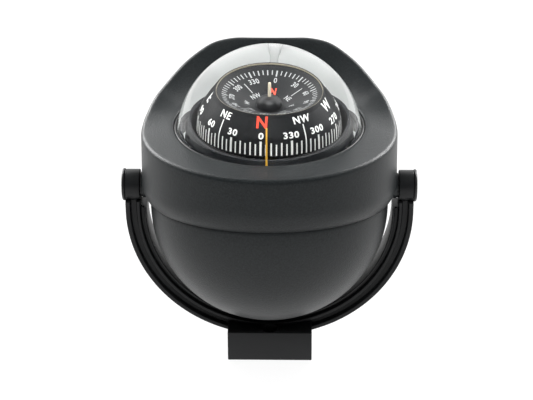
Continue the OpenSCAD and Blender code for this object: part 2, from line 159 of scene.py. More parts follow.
def block_into(bm, centre, size, bevel=0.0, segments=3):
    made = bmesh.ops.create_cube(bm, size=1.0)["verts"]
    bmesh.ops.scale(bm, vec=size, verts=made)
    bmesh.ops.translate(bm, vec=centre, verts=made)
    if bevel:
        edges = {e for v in made for e in v.link_edges}
        bmesh.ops.bevel(bm, geom=list(edges), offset=bevel, segments=segments, profile=0.5, affect="EDGES")


def cut(obj, cutter):
    """Takes the cutter's shape out of the object and removes the cutter."""
    mod = obj.modifiers.new("cut", "BOOLEAN")
    mod.operation = "DIFFERENCE"
    mod.object = cutter
    mod.solver = "EXACT"
    graph = bpy.context.evaluated_depsgraph_get()
    mesh = bpy.data.meshes.new_from_object(obj.evaluated_get(graph))
    obj.modifiers.clear()
    obj.data = mesh
    bpy.data.objects.remove(cutter)


def reshade(obj, angle):
    """Marks an object's sharp edges again after it has been cut."""
    bm = bmesh.new()
    bm.from_mesh(obj.data)
    shade(bm, angle)
    bm.to_mesh(obj.data)
    bm.free()


def smooth_curve(table, x):
    """Smooth interpolation of a table whose first and last slopes are flat."""
    n = len(table)
    for i in range(n - 1):
        if x <= table[i + 1][0] or i == n - 2:
            break
    x0, y0 = table[i]
    x1, y1 = table[i + 1]
    w = x1 - x0
    m0 = 0.0 if i == 0 else (y1 - table[i - 1][1]) / (x1 - table[i - 1][0])
    m1 = 0.0 if i == n - 2 else (table[i + 2][1] - y0) / (table[i + 2][0] - x0)
    t = min(max((x - x0) / w, 0), 1)
    return (
        (2 * t**3 - 3 * t**2 + 1) * y0 + (t**3 - 2 * t**2 + t) * w * m0
        + (-2 * t**3 + 3 * t**2) * y1 + (t**3 - t**2) * w * m1
    )


# ---------------------------------------------------------------- materials

DRIFT_SCALE = 14.0
ROUGH_VARY = 0.08
BUMP_DEPTH = 0.0002


def node_material(name, base, rough, bump=0.0, scale=900.0, vary=0.06, metallic=0.0, specular=0.5,
                  wear=0.0, wear_color=None, speckle=0.0):
    """Plastic or metal with fine grain, slow colour drift and brighter edges, all from nodes."""
    mat = bpy.data.materials.new(name)
    mat.use_nodes = True
    nt = mat.node_tree
    nt.nodes.clear()
    out = nt.nodes.new("ShaderNodeOutputMaterial")
    bsdf = nt.nodes.new("ShaderNodeBsdfPrincipled")
    nt.links.new(bsdf.outputs[0], out.inputs[0])
    coord = nt.nodes.new("ShaderNodeTexCoord")
    grain = nt.nodes.new("ShaderNodeTexNoise")
    grain.inputs["Scale"].default_value = scale
    grain.inputs["Detail"].default_value = 3
    grain.inputs["Roughness"].default_value = 0.6
    nt.links.new(coord.outputs["Object"], grain.inputs["Vector"])
    drift = nt.nodes.new("ShaderNodeTexNoise")
    drift.inputs["Scale"].default_value = DRIFT_SCALE
    drift.inputs["Detail"].default_value = 4
    nt.links.new(coord.outputs["Object"], drift.inputs["Vector"])
    mix = nt.nodes.new("ShaderNodeMix")
    mix.data_type = "RGBA"
    dark = [c * (1 - vary) for c in base]
    light = [min(1, c * (1 + vary)) for c in base]
    mix.inputs["A"].default_value = (*dark, 1)
    mix.inputs["B"].default_value = (*light, 1)
    nt.links.new(drift.outputs["Fac"], mix.inputs["Factor"])
    colour = mix.outputs["Result"]
    if speckle:
        spots = nt.nodes.new("ShaderNodeMapRange")
        spots.inputs["From Min"].default_value = 0.35
        spots.inputs["From Max"].default_value = 0.65
        spots.inputs["To Min"].default_value = 1 - speckle
        spots.inputs["To Max"].default_value = 1 + speckle
        nt.links.new(grain.outputs["Fac"], spots.inputs["Value"])
        speck = nt.nodes.new("ShaderNodeVectorMath")
        speck.operation = "SCALE"
        nt.links.new(colour, speck.inputs[0])
        nt.links.new(spots.outputs["Result"], speck.inputs["Scale"])
        colour = speck.outputs[0]
    if wear:
        geo = nt.nodes.new("ShaderNodeNewGeometry")
        ramp = nt.nodes.new("ShaderNodeMapRange")
        ramp.inputs["From Min"].default_value = 0.52
        ramp.inputs["From Max"].default_value = 0.62
        ramp.inputs["To Max"].default_value = wear
        nt.links.new(geo.outputs["Pointiness"], ramp.inputs["Value"])
        edge = nt.nodes.new("ShaderNodeMix")
        edge.data_type = "RGBA"
        edge.inputs["B"].default_value = (*wear_color, 1)
        nt.links.new(ramp.outputs["Result"], edge.inputs["Factor"])
        nt.links.new(colour, edge.inputs["A"])
        colour = edge.outputs["Result"]
    nt.links.new(colour, bsdf.inputs["Base Color"])
    rr = nt.nodes.new("ShaderNodeMapRange")
    rr.inputs["To Min"].default_value = rough - ROUGH_VARY
    rr.inputs["To Max"].default_value = rough + ROUGH_VARY
    nt.links.new(drift.outputs["Fac"], rr.inputs["Value"])
    nt.links.new(rr.outputs["Result"], bsdf.inputs["Roughness"])
    bsdf.inputs["Metallic"].default_value = metallic
    bsdf.inputs["Specular IOR Level"].default_value = specular
    if bump:
        b = nt.nodes.new("ShaderNodeBump")
        b.inputs["Strength"].default_value = bump
        b.inputs["Distance"].default_value = BUMP_DEPTH
        nt.links.new(grain.outputs["Fac"], b.inputs["Height"])
        nt.links.new(b.outputs["Normal"], bsdf.inputs["Normal"])
    return mat


def glass_material(name, ior, tint):
    """Clear acrylic with a very slight unevenness of polish."""
    mat = bpy.data.materials.new(name)
    mat.use_nodes = True
    nt = mat.node_tree
    bsdf = nt.nodes["Principled BSDF"]
    coord = nt.nodes.new("ShaderNodeTexCoord")
    noise = nt.nodes.new("ShaderNodeTexNoise")
    noise.inputs["Scale"].default_value = 25
    nt.links.new(coord.outputs["Object"], noise.inputs["Vector"])
    rr = nt.nodes.new("ShaderNodeMapRange")
    rr.inputs["To Min"].default_value = 0.0
    rr.inputs["To Max"].default_value = 0.012
    nt.links.new(noise.outputs["Fac"], rr.inputs["Value"])
    nt.links.new(rr.outputs["Result"], bsdf.inputs["Roughness"])
    bsdf.inputs["Base Color"].default_value = (*tint, 1)
    bsdf.inputs["Transmission Weight"].default_value = 1.0
    bsdf.inputs["IOR"].default_value = ior
    return mat


def clear_material(name):
    """The dome's inner face: the liquid inside bends light as the dome does, so nothing happens there."""
    mat = bpy.data.materials.new(name)
    mat.use_nodes = True
    nt = mat.node_tree
    nt.nodes.clear()
    out = nt.nodes.new("ShaderNodeOutputMaterial")
    clear = nt.nodes.new("ShaderNodeBsdfTransparent")
    nt.links.new(clear.outputs[0], out.inputs[0])
    return mat


HOUSING = node_material("housing_textured", (0.0088, 0.0108, 0.0116), 0.42, bump=0.7, scale=1300, vary=0.14,
                        wear=0.25, wear_color=(0.04, 0.045, 0.047), specular=0.32, speckle=0.35)
BRACKET = node_material("bracket_satin", (0.007, 0.0075, 0.008), 0.42, bump=0.12, scale=1200, vary=0.12,
                        wear=0.3, wear_color=(0.03, 0.031, 0.033), specular=0.25)
KNOB = node_material("knob_satin", (0.007, 0.007, 0.0075), 0.38, bump=0.10, scale=1400, vary=0.1,
                     wear=0.3, wear_color=(0.03, 0.03, 0.033), specular=0.35)
RING = node_material("ring_satin", (0.008, 0.008, 0.008), 0.35, bump=0.06, scale=1400, vary=0.08,
                     specular=0.35)
GIMBAL = node_material("gimbal_satin", (0.006, 0.007, 0.009), 0.35, bump=0.05, scale=1200, vary=0.1,
                       specular=0.3)
HUB_BLACK = node_material("hub_gloss", (0.009, 0.009, 0.010), 0.40, bump=0.02, scale=900, vary=0.1)
# Beige-grey for a thin ring on the card's rim: a painted highlight, not a colour of the card
PAINTED_HIGHLIGHT_BEIGE = node_material("painted_highlight_card_rim", (0.30, 0.27, 0.20), 0.5, bump=0.03, scale=900, vary=0.15)
RUBBER = node_material("rubber_black", (0.010, 0.010, 0.010), 0.7, bump=0.3, scale=700)
BRASS = node_material("brass_turned", (0.62, 0.44, 0.17), 0.30, bump=0.05, scale=600, metallic=1.0)
STEEL = node_material("steel_brushed", (0.55, 0.55, 0.54), 0.32, bump=0.06, scale=800, metallic=1.0)
MAGNET = node_material("magnet_steel", (0.20, 0.21, 0.22), 0.4, bump=0.08, scale=700, metallic=1.0)
NYLON = node_material("nylon_natural", (0.55, 0.55, 0.50), 0.5, bump=0.1, scale=500)
FOAM = node_material("float_foam", (0.66, 0.66, 0.62), 0.8, bump=0.5, scale=420)
LAMP_RED = node_material("lamp_red", (0.5, 0.02, 0.015), 0.2, vary=0.1)
FLUID = node_material("fluid_bowl_white", (0.80, 0.82, 0.81), 0.35, bump=0.04, scale=400, vary=0.02)
# The stub pins are white; this darker grey paints shade onto them, so their lit tops match the shaded bowl
# wall round them
STUB_PAINTED_SHADE = node_material("stub_painted_shade_grey", (0.36, 0.37, 0.365), 0.4, bump=0.04, scale=600)
CARD_BLACK = node_material("card_black", (0.0055, 0.006, 0.007), 0.55, bump=0.08, scale=1600, vary=0.12,
                           specular=0.3)
PRINT = node_material("card_print_white", (0.78, 0.79, 0.77), 0.6, bump=0.05, scale=1600, vary=0.04)
PRINT_DIM = node_material("dish_print_grey", (0.34, 0.35, 0.35), 0.6, bump=0.05, scale=1600, vary=0.04)
PRINT_RED = node_material("card_print_red", (0.80, 0.07, 0.035), 0.6, bump=0.05, scale=1600, vary=0.05)
YELLOW = node_material("lubber_yellow", (0.60, 0.33, 0.035), 0.4, bump=0.05, scale=900, vary=0.06)
IVORY = node_material("pin_ivory", (0.72, 0.64, 0.50), 0.35, bump=0.04, scale=900)
GLASS = glass_material("dome_clear", 1.45, (0.97, 0.985, 0.98))
CLEAR = clear_material("dome_inner_clear")


def finish_piece(obj, body, slot, material, *nodes):
    """Gives a piece its material and its body, and hides the CAD nodes that it stands for; its slot is not
    used.
    """
    if material is not None:
        obj.data.materials.clear()
        obj.data.materials.append(material)
    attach(obj, body)
    if nodes:
        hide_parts(*nodes)
    return obj


# ---------------------------------------------------------------- bracket

def strap_section():
    """Outline of the strap as (radius, depth): two channels in each face."""
    ro, ri, d, c = STRAP_R, STRAP_R - STRAP_W, STRAP_D / 2, 3.0
    face = [
        (ro, d, 0.7), (ro - 2.4, d, 0.5), (ro - 2.6, d - c, 0.5), (ro - 5.5, d - c, 0.5),
        (ro - 5.7, d - 0.5, 0.5), (ro - 7.3, d - 0.5, 0.5), (ro - 7.5, d - c, 0.5),
        (ro - 9.3, d - c, 0.4), (ro - 9.5, d - 0.2, 0.3), (ri, d - 0.2, 0.4),
    ]
    back = [(r, -y, q) for r, y, q in reversed(face)]
    return rounded(face + back, 4)


def make_bracket():
    """The strap, lofted along the U, and the two bosses; its inner part stops at a shelf under them."""
    bm = bmesh.new()
    section = strap_section()
    centre = PIVOT_H - STRAP_DROP
    top = PIVOT_H - BOSS_R + 1.2
    shelf = PIVOT_H - 9.6
    rib = STRAP_D / 2 - 3.0
    neck = [(max(r, BOSS_IN), y if r >= BOSS_IN else max(-rib, min(rib, y))) for r, y in section]
    ends = [(top, neck), (shelf, neck), (shelf, section)]
    steps = 96
    stations = [((1, 0), z, outline) for z, outline in ends]
    for k in range(steps + 1):
        a = math.pi * k / steps
        stations.append(((math.cos(a), -math.sin(a)), centre, section))
    stations += [((-1, 0), z, outline) for z, outline in reversed(ends)]
    rings = []
    for (ox, oz), z, outline in stations:
        rings.append([(r * ox, y, z + r * oz) for r, y in outline])
    made = loft(bm, rings)
    bm.faces.new(made[0])
    bm.faces.new(list(reversed(made[-1])))
    for side in (1, -1):
        profile = rounded([
            (SHANK_R + 0.05, BOSS_IN, 0.0), (BOSS_R, BOSS_IN, 0.5),
            (BOSS_R, STRAP_R, 0.5), (SHANK_R + 0.05, STRAP_R, 0.3),
        ], 4)
        m = PIVOT @ (HALF_TURN if side < 0 else Matrix.Identity(4)) @ TO_X
        lathe_into(bm, profile, 72, matrix=m)
    return add_object("Bracket", bm, angle=40)


def make_foot():
    bm = bmesh.new()
    block_into(bm, (0, 0, FOOT_H / 2), (FOOT_W, FOOT_D, FOOT_H), 0.5, 3)
    foot = add_object("Bracket_foot", bm, angle=40)
    bm = bmesh.new()
    for s in (-1, 1):
        profile = rounded([
            (0.0, -2, 0), (HOLE_R + 1.2, -2, 0), (HOLE_R + 0.35, 0.35, 0), (HOLE_R, 0.7, 0),
            (HOLE_R, FOOT_H - 0.6, 0), (HOLE_R + 0.35, FOOT_H - 0.15, 0), (HOLE_R + 1.2, FOOT_H + 1.2, 0),
            (0.0, FOOT_H + 1.2, 0),
        ])
        lathe_into(bm, profile, 64, closed=False, matrix=Matrix.Translation((0, s * HOLE_Y, 0)))
    cutter = add_object("cutter", bm)
    cut(foot, cutter)
    reshade(foot, 40)
    return foot


finish_piece(make_bracket(), "bracket", "bracket_black", BRACKET, "bracket")
finish_piece(make_foot(), "bracket", "bracket_black", BRACKET, "bracket")


def make_knob(side):
    """A knob with its shank and a slot across its face; side is -1 for the left, 1 for the right."""
    profile = rounded([
        (0.0, 73.25, 0), (KNOB_R - 1.4, 73.25, 0.6), (KNOB_R - 0.5, 73.05, 0.6), (KNOB_R, 72.5, 0.4),
        (KNOB_R, 71.7, 0.25), (SHANK_R, 71.7, 0.1), (SHANK_R, 58.6, 0.3), (SHANK_R - 0.6, 58.0, 0.1),
        (0.0, 58.0, 0),
    ], 4)
    bm = bmesh.new()
    lathe_into(bm, profile, 96, closed=False)
    flip = PIVOT @ (HALF_TURN if side < 0 else Matrix.Identity(4))
    knob = add_object("Knob_left" if side < 0 else "Knob_right", bm, flip @ TO_X, 30)
    bm = bmesh.new()
    block_into(bm, (73.4, 0, 0), (2.0, 2.0, 12.0), 0.25, 2)
    cut(knob, add_object("cutter", bm, flip))
    return knob


finish_piece(make_knob(-1), "left_knob", "knob_black", KNOB, "left_knob")
finish_piece(make_knob(1), "right_knob", "knob_black", KNOB, "right_knob")


# ---------------------------------------------------------------- housing

def open_point(a, r, d):
    return Vector((
        r * math.cos(a),
        r * math.sin(a) * math.cos(LEAN) - d * math.sin(LEAN),
        OPEN_H + r * math.sin(a) * math.sin(LEAN) + d * math.cos(LEAN),
    ))


def cyl_point(a, r, z):
    return Vector((r * math.cos(a), r * math.sin(a), z))


def rim_height(a):
    return smooth_curve(RIM, math.degrees(math.asin(max(-1, min(1, math.sin(a))))))


def arc_points(a, r_mid, z_mid, radius, t0, t1, steps):
    """Points on a rounded outer edge, from angle t0 to t1 in degrees, 0 = outwards."""
    out = []
    for k in range(steps + 1):
        t = math.radians(t0 + (t1 - t0) * k / steps)
        out.append(cyl_point(a, r_mid + radius * math.cos(t), z_mid + radius * math.sin(t)))
    return out


def housing_section(a):
    top = rim_height(a)
    inner = open_point(a, OPEN_R + 1.2, 0)
    rise = (top - inner.z) / 12.7
    round_r = 2.3
    lower = [
        cyl_point(a, COLLAR_R - 4.1, SEAM_Z + 0.06), cyl_point(a, COLLAR_R - 3.8, SEAM_Z + 0.36),
        cyl_point(a, COLLAR_R - 2.5, SEAM_Z + 1.75), cyl_point(a, COLLAR_R - 1.72, SEAM_Z + 3.0),
        cyl_point(a, COLLAR_R - 1.1, SEAM_Z + 4.35), cyl_point(a, COLLAR_R - 0.6, SEAM_Z + 5.75),
        cyl_point(a, COLLAR_R - 0.25, SEAM_Z + 7.15), cyl_point(a, COLLAR_R - 0.06, SEAM_Z + 8.5),
        cyl_point(a, COLLAR_R, SEAM_Z + 9.95),
    ]
    wall = [cyl_point(a, COLLAR_R, 3.2 + (top - round_r - 3.2) * k / 6) for k in range(1, 6)]
    slope = math.degrees(math.atan(rise))
    edge = arc_points(a, COLLAR_R - round_r, top - round_r, round_r, 0, 90 + slope, 8)
    start = edge[-1]
    face = [start.lerp(inner, k / 8) for k in range(1, 8)]
    lip = [
        inner, open_point(a, OPEN_R + 0.55, -0.1), open_point(a, OPEN_R + 0.18, -0.4),
        open_point(a, OPEN_R, -0.9), open_point(a, OPEN_R, 1.8 - DOME_DROP),
    ]
    drop = 0.8 * rise + WALL * math.sqrt(1 + rise * rise) + 0.2
    inside = [
        cyl_point(a, COLLAR_R - WALL, top - drop), cyl_point(a, COLLAR_R - WALL, 3),
        cyl_point(a, COLLAR_R - 5.7, -2), cyl_point(a, COLLAR_R - 7.1, SEAM_Z + 0.06),
    ]
    return lower + wall + edge + face + lip + inside


def make_housing():
    bm = bmesh.new()
    n = 240
    rings = [housing_section(2 * math.pi * i / n) for i in range(n)]
    loft(bm, rings, closed_path=True)
    for side in (1, -1):
        profile = rounded([(3.2, 57, 0), (6.2, 57, 0), (6.2, 63.5, 0.3), (3.2, 63.5, 0)], 3)
        m = (HALF_TURN if side < 0 else Matrix.Identity(4)) @ TO_X
        lathe_into(bm, profile, 64, matrix=m)
    return add_object("Housing_upper", bm, BODY, 40)


finish_piece(make_housing(), "housing", "housing_grey", HOUSING, "upper_housing")


def make_lower_bowl():
    top = SEAM_Z - 0.05
    a0 = math.asin((top - 0.25 - BOWL_Z) / BOWL_R)
    a1 = -math.pi / 2
    profile = []
    for k in range(33):
        a = a1 + (a0 - a1) * k / 32
        profile.append(((BOWL_R - WALL) * math.cos(a) if k else 0.0, BOWL_Z + (BOWL_R - WALL) * math.sin(a)))
    profile += [(BOWL_R - WALL - 0.1, top), (BOWL_R - 0.3, top), (BOWL_R - 0.1, top - 0.08)]
    for k in range(65):
        a = a0 + (a1 - a0) * k / 64
        profile.append((BOWL_R * math.cos(a) if k < 64 else 0.0, BOWL_Z + BOWL_R * math.sin(a)))
    bm = bmesh.new()
    lathe_into(bm, profile, 192, closed=False)
    bowl = add_object("Housing_bowl", bm, BODY, 35)
    to_y = Matrix.Rotation(-math.pi / 2, 4, "X")
    tools = [
        ([(0, -62), (3.3, -62), (3.3, -12), (0, -12)],
         Matrix.Rotation(math.radians(az), 4, "Z") @ Matrix.Translation((50, 0, 0)))
        for az in (20, 160, 62, 118)
    ]
    tools += [
        ([(0, 40), (3, 40), (3, 62), (0, 62)], Matrix.Translation((0, 7, -37)) @ TO_X),
        ([(0, 38), (3, 38), (3, 62), (0, 62)], Matrix.Translation((0, 0, -43)) @ to_y),
        ([(0, 50), (3.5, 50), (3.5, 57.3), (6.2, 57.3), (6.2, 64), (0, 64)],
         Matrix.Translation((0, 0, -20)) @ to_y),
    ]
    for outline, place in tools:
        bm = bmesh.new()
        lathe_into(bm, outline, 40, closed=False, matrix=place)
        cut(bowl, add_object("cutter", bm, BODY))
    reshade(bowl, 35)
    return bowl


finish_piece(make_lower_bowl(), "housing", "housing_grey", HOUSING, "lower_bowl")

dome_ring = lathe("Dome_ring", rounded([
    (DOME_R + 0.15, FLANGE_H, 0), (46.9, FLANGE_H, 0), (46.9, 6.2, 0.4), (DOME_R + 0.15, 6.5, 0.4),
], 4), DOME, 192)
finish_piece(dome_ring, "housing", "ring_black", RING, "dome_ring")


# ---------------------------------------------------------------- dome

def sphere_arc(r, t0, t1, steps):
    out = []
    for k in range(steps + 1):
        t = math.radians(t0 + (t1 - t0) * k / steps)
        out.append((r * math.cos(t) if t < math.pi / 2 - 1e-6 else 0.0, r * math.sin(t)))
    return out


def make_dome():
    """Outer face, inner face and the annulus under the flange."""
    bm = bmesh.new()
    z0 = math.degrees(math.asin(FLANGE_H / DOME_R))
    outer = [(FLANGE_R, 0), (FLANGE_R, FLANGE_H)] + sphere_arc(DOME_R, z0, 90, 48)
    inner = list(reversed(sphere_arc(DOME_R - DOME_T, 0, 90, 48)))
    for profile in (outer, inner, [(DOME_R - DOME_T, 0), (FLANGE_R, 0)]):
        lathe_into(bm, profile, 192, closed=False)
    return add_object("Dome", bm, DOME, 30)


dome = make_dome()
dome.data.materials.append(GLASS)
dome.data.materials.append(CLEAR)
inner_r = (DOME_R - DOME_T + 0.5) * MM
centre = Vector((0, Y_DOME, Z_DOME)) * MM
for poly in dome.data.polygons:
    if (poly.center - centre).length < inner_r:
        poly.material_index = 1
finish_piece(dome, "housing", "clear_dome", None, "dome")
dome.visible_shadow = False


def make_fluid_bowl():
    """The white inner bowl that holds the liquid, with its flange and the neck at the bottom."""
    profile = [(52.6, -1.2), (52.6, -3.7), (44.2, -3.7)]
    profile += [((FLUID_R + 2) * math.cos(t), (FLUID_R + 2) * math.sin(t))
                for t in (math.radians(-6 - 84 * k / 40 * 0.78) for k in range(41))]
    bottom = -42.3
    profile += [(19, bottom), (19, -46.3), (13, -46.3), (13, -40.3)]
    a0 = math.degrees(math.asin(-40.3 / FLUID_R))
    profile += [(FLUID_R * math.cos(math.radians(a0 * (1 - k / 40) + -1.6 * k / 40)),
                 FLUID_R * math.sin(math.radians(a0 * (1 - k / 40) + -1.6 * k / 40))) for k in range(41)]
    return lathe("Fluid_bowl", profile, DOME, 160)


finish_piece(make_fluid_bowl(), "housing", "white_bowl", FLUID, "fluid_bowl")


def make_lubber():
    bm = bmesh.new()
    r = 39.05
    rings = []
    steps = 40
    for k in range(steps + 1):
        t = math.radians(-4.5 + (30.6 + 4.5) * k / steps)
        w = 0.50 - 0.12 * k / steps
        h = 0.62 if k < steps - 2 else 0.62 * (steps - k + 0.6) / 2.6
        outline = rounded([(-w, -h, 0.2), (w, -h, 0.2), (w, h, 0.2), (-w, h, 0.2)], 3)
        rings.append([(u - 0.5, -(r + v) * math.cos(t), (r + v) * math.sin(t)) for u, v in outline])
    made = loft(bm, rings)
    bm.faces.new(made[0])
    bm.faces.new(made[-1])
    block_into(bm, (0, -41.0, -2.25), (2.8, 4.4, 1.9), 0.35, 3)
    return add_object("Lubber_front", bm, DOME, 40)


finish_piece(make_lubber(), "housing", "lubber_yellow", YELLOW, "front_lubber")


# ---------------------------------------------------------------- gimbal

GIMBAL_AT = DOME @ Matrix.Translation((0, 0, -GIMBAL_DROP))
gimbal_ring = lathe("Gimbal_ring", rounded([
    (RING_R - 0.6, -3, 0.3), (RING_R + 0.6, -3, 0.3), (RING_R + 0.6, 1.8, 0.3), (RING_R - 0.6, 1.8, 0.3),
], 4), GIMBAL_AT, 160)
finish_piece(gimbal_ring, "gimbal", "gimbal_black", GIMBAL, "gimbal_ring")


def bowl_arc(r, z, steps):
    """Points on a sphere of radius r from its equator down to height z."""
    a = math.asin(z / r)
    return [(r * math.cos(a * k / steps), r * math.sin(a * k / steps)) for k in range(steps + 1)]


pan_edge = [(PAN_R - 1.2, 6.7), (PAN_R - 0.9, 7), (PAN_R - 0.3, 7), (PAN_R, 6.7)]
pan = lathe("Pivot_pan", pan_edge + bowl_arc(PAN_R, -14, 12) + [(2, -14), (2, -12.5)]
            + list(reversed(bowl_arc(PAN_R - 1.2, -12.5, 12))), GIMBAL_AT, 160)
finish_piece(pan, "cradle", "gimbal_black", GIMBAL, "pivot_cradle")


# ---------------------------------------------------------------- card

# Skirt: radius at each height. Dish: height at each radius. Both in the card's own frame
SKIRT = [
    (-1.8, 25.2), (1.5, 25.3), (4.4, 25.2), (6.2, 24.7), (8, 23.9), (10.3, 22.8), (12.5, 21.6), (14.4, 20.6),
]
DISH = [
    (2.8, 9.6), (6, 9.6), (7.7, 10.3), (9.3, 10.95), (13.7, 12.5), (15.3, 13), (17.6, 13.75), (19.6, 14.35),
]
PRINT_LIFT = 0.06


def skirt_radius(z):
    return smooth_curve(SKIRT, z)


def dish_height(r):
    return smooth_curve(DISH, r)


def skirt_point(angle, z, lift):
    """Angle in radians, 0 = the reader's side, positive towards the reader's left."""
    r = skirt_radius(z) + lift
    return Vector((-r * math.sin(angle), -r * math.cos(angle), z + lift * 0.3))


def dish_point(angle, r, lift):
    """Angle in radians, 0 = the far side, positive towards the reader's right."""
    return Vector((r * math.sin(angle), r * math.cos(angle), dish_height(r) + lift))


def make_skirt():
    outer = [(CARD_R - 0.4, -2.2)] + [(skirt_radius(z), z) for z in (-1.8 + 15.2 * k / 30 for k in range(31))]
    inner = [
        (20.0, 13.4), (20.6, 12), (21.8, 9.8), (22.9, 7.5), (23.7, 5.8), (24.2, 4.2), (24.3, 1.5),
        (24.1, -2.2),
    ]
    return lathe("Card_skirt", outer + inner, CARD, 192)


def make_dish():
    under = [
        (2.8, 8.7), (6.5, 9), (9.3, 10.05), (13.7, 11.6), (15.3, 12.1), (17.6, 12.85), (19.4, 13.4),
        (21.1, 13.4),
    ]
    edge = [(20.85, 13.9), (20.6, 14.4), (20.35, 14.8), (20.1, 14.9), (19.9, 14.8), (19.8, 14.42)]
    top = [(r, dish_height(r)) for r in (19.6 - 16.8 * k / 40 for k in range(41))]
    return lathe("Card_dish", under + edge + top, CARD, 192, angle=25)


finish_piece(make_skirt(), "card", "card_black", CARD_BLACK, "card_skirt")
finish_piece(make_dish(), "card", "card_black", CARD_BLACK, "card_dish")
# A thin beige ring on the inner face of the dish's ridge: a painted highlight along the far rim
painted_rim_highlight = lathe("Card_rim_painted_highlight", [(19.74, 14.4), (19.82, 14.85), (19.9, 14.85), (19.82, 14.4)], CARD, 192)
finish_piece(painted_rim_highlight, "card", "card_black", PAINTED_HIGHLIGHT_BEIGE, "card_dish")


def strip(bm, fn, a, w, t0, t1, steps=4):
    """A printed line of angular half-width w (mm) along the card's slope."""
    left, right = [], []
    for k in range(steps + 1):
        t = t0 + (t1 - t0) * k / steps
        left.append(bm.verts.new(fn(a, -w, t)))
        right.append(bm.verts.new(fn(a, w, t)))
    for k in range(steps):
        bm.faces.new((left[k], left[k + 1], right[k + 1], right[k]))


def on_skirt(a, u, z):
    """A printed point of the skirt: u mm along it from angle a, at height z."""
    return skirt_point(a + u / skirt_radius(z), z, PRINT_LIFT)


def on_dish(a, u, r):
    """A printed point of the dish: u mm along it from angle a, at radius r."""
    return dish_point(a + u / r, r, PRINT_LIFT)


def label(bm, text, size, place, width, bold):
    """Adds a label's letters to bm: place(x, y) puts a point of the flat text on the card."""
    curve = bpy.data.curves.new("label", "FONT")
    curve.body = text
    curve.align_x = "CENTER"
    curve.align_y = "CENTER"
    curve.size = size
    curve.offset = bold * size
    curve.space_character = 1.12
    curve.resolution_u = 3
    obj = bpy.data.objects.new("label", curve)
    bpy.context.scene.collection.objects.link(obj)
    graph = bpy.context.evaluated_depsgraph_get()
    graph.update()
    mesh = bpy.data.meshes.new_from_object(obj.evaluated_get(graph))
    verts = [bm.verts.new(place(v.co.x * width, v.co.y)) for v in mesh.vertices]
    for p in mesh.polygons:
        try:
            bm.faces.new([verts[i] for i in p.vertices])
        except ValueError:
            pass
    bpy.data.objects.remove(obj)
    bpy.data.meshes.remove(mesh)


POINTS = ((45, "NE"), (90, "E"), (135, "SE"), (180, "S"), (225, "SW"), (270, "W"), (315, "NW"))


def make_skirt_print():
    white, red = bmesh.new(), bmesh.new()
    for deg in range(0, 360, 5):
        a = math.radians(deg)
        if deg % 30 == 0:
            w, top = 0.47, 4.75
        elif deg % 10 == 0:
            w, top = 0.31, 4.15
        else:
            w, top = 0.29, 3.5
        strip(white, on_skirt, a, w, -1.4, top)
    for deg in range(45, 360, 90):
        strip(white, on_skirt, math.radians(deg), 0.27, -1.4, 10.2, steps=12)
    for deg in range(0, 360, 30):
        a = math.radians(deg)
        label(white, str(deg), 3.35, lambda x, y, a=a: on_skirt(a, -x, 6.75 + y), 1.3, 0.032)
    for deg, name in POINTS:
        a = math.radians(deg)
        size = 5.4 if len(name) == 1 else 4.0
        label(white, name, size, lambda x, y, a=a: on_skirt(a, -x, 12.0 + y), 1.08, 0.026)
    label(red, "N", 6.1, lambda x, y: on_skirt(0.0, -x, 11.8 + y), 1.08, 0.03)
    return white, red


def make_dish_print():
    white, red = bmesh.new(), bmesh.new()
    for deg in range(0, 360, 5):
        a = math.radians(deg)
        if deg % 30 == 0:
            w, r0 = 0.24, 15.3
        elif deg % 10 == 0:
            w, r0 = 0.18, 15.7
        else:
            w, r0 = 0.16, 15.9
        strip(white, on_dish, a, w, r0, 17.6)
    for deg in range(45, 360, 90):
        strip(white, on_dish, math.radians(deg), 0.17, 9.4, 13.9)
    for deg in range(0, 360, 30):
        a = math.radians(deg)
        label(white, str(deg), 2.8, lambda x, y, a=a: on_dish(a, x, 13.6 + y), 0.8, 0.02)
    for deg, name in POINTS:
        a = math.radians(deg)
        label(white, name, 2.5, lambda x, y, a=a: on_dish(a, x, 7.9 + y), 0.85, 0.02)
    label(red, "N", 3.9, lambda x, y: on_dish(0.0, x, 8.9 + y), 0.72, 0.03)
    return white, red


for part, maker, white_print in (("skirt", make_skirt_print, PRINT), ("dish", make_dish_print, PRINT_DIM)):
    for colour, mesh, material in zip(("white", "red"), maker(), (white_print, PRINT_RED)):
        piece = add_object(f"Card_{part}_print_{colour}", mesh, CARD, 60)
        finish_piece(piece, "card", "card_black", material, "card_" + part)

HUB_R, HUB_RISE = 4.6, 3.6
hub_crown = [
    (HUB_R * math.cos(t) ** 0.9, 10.2 + HUB_RISE * math.sin(t))
    for t in (math.radians(83 * k / 20) for k in range(21))
]
hub = lathe("Hub_cap", [(0.6, 9.6), (HUB_R, 9.6)] + hub_crown, CARD, 64, angle=40)
finish_piece(hub, "card", "card_black", HUB_BLACK, "hub_cap")
pin = lathe("Centre_pin", rounded([
    (0, 12, 0), (0.6, 12, 0), (0.6, 18.4, 0), (0.5, 19.5, 0.3), (0, 19.5, 0)], 4), CARD, 32, closed=False)
finish_piece(pin, "card", "pin_ivory", IVORY, "centre_pin")

# CAD nodes that keep their own shape
KEPT = {
    "brass": BRASS, "stainless_steel": STEEL, "black_rubber": RUBBER, "magnet_steel": MAGNET,
    "block_nylon": NYLON, "float_white": FOAM, "lamp_red": LAMP_RED, "weight_brass": BRASS,
    # The white_bowl slot here covers the stub pins: their grey is painted shade
    "washer_black": KNOB, "card_black": CARD_BLACK, "white_bowl": STUB_PAINTED_SHADE, "gimbal_black": GIMBAL,
}
SLOTS = {s["node"]: s["material_slot"] for s in frame["record"]["subparts"]}
for node_name, node in NODES.items():
    material = KEPT.get(SLOTS.get(node_name))
    if material is not None:
        for i in range(len(node.material_slots)):
            node.material_slots[i].material = material

# ---------------------------------------------------------------- stage

